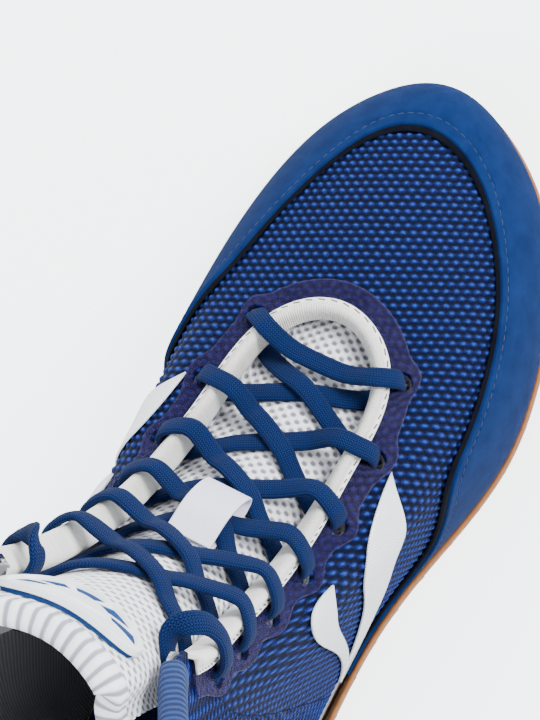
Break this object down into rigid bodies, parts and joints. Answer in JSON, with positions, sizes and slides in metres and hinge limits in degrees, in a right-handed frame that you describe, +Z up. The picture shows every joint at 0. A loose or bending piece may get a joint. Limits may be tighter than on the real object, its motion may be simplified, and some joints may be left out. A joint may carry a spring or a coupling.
{
  "type": "boxing boot",
  "caption": "High, laced boxing boot for the right foot: open-mesh upper, suede toe guard, translucent eyestay, padded tongue and flat gum-rubber sole.",
  "frame": {"origin": "on the ground under the middle of the boot's box", "axes": "+X to the toe, +Y to the inner (medial) side of a right foot, +Z up"},
  "size_m": [0.2882, 0.112, 0.2004],
  "materials": {
    "gum": "matt moulded gum rubber",
    "midsole_foam": "closed-cell foam",
    "board": "fibre board",
    "insole_foam": "open-cell foam",
    "insole_fabric": "brushed knit",
    "lining": "soft open knit",
    "stiffener": "thin thermoplastic sheet",
    "padding": "soft foam",
    "knit": "two-layer open mesh over a dark backing",
    "backing": "felted backing, cut edge",
    "suede": "brushed suede",
    "webbing": "woven webbing",
    "film": "thin clear tinted film, satin",
    "binding": "ribbed folded tape",
    "collar_knit": "ribbed knit tape",
    "chevron": "satin film with a fine embossed grid",
    "spacer_mesh": "white spacer mesh with round holes",
    "tape": "woven twill tape",
    "vent_backing": "blue felt seen through the vent",
    "moulded": "satin moulded plastic",
    "lace": "flat braided cord",
    "aglet": "clear-coated tip"
  },
  "bodies": {
    "boot": {"outsole": "gum", "midsole": "midsole_foam", "lasting_board": "board", "insole": "insole_foam", "insole_cover": "insole_fabric", "lining": "lining", "toe_puff": "stiffener", "heel_counter": "stiffener", "collar_padding": "padding", "eyestay_reinforcement_lateral": "stiffener", "eyestay_reinforcement_medial": "stiffener", "upper_mesh": "knit", "toe_guard_backing": "backing", "toe_guard": "suede", "heel_overlay": "suede", "back_stay": "webbing", "eyestay_film": "film", "throat_binding": "binding", "collar_binding": "collar_knit", "side_chevron_lateral": "chevron", "side_chevron_medial": "chevron", "tongue_mesh": "spacer_mesh", "tongue_foam": "padding", "tongue_lining": "lining", "tongue_top_binding": "binding", "tongue_lace_loop": "tape", "badge_backing": "vent_backing", "tongue_badge": "moulded", "lace": "lace", "aglet_lateral": "aglet", "aglet_medial": "aglet"},
    "pull_loop": {"heel_pull_loop": "webbing"}
  },
  "joints": [
    {"name": "pull_loop_hinge", "type": "hinge", "parent": "boot", "child": "pull_loop", "pos_m": [-0.13199, -0.00063, 0.17144], "axis": [0, -1, 0], "range_deg": [0, 70], "stiffness_Nm_per_rad": 0.01}
  ]
}
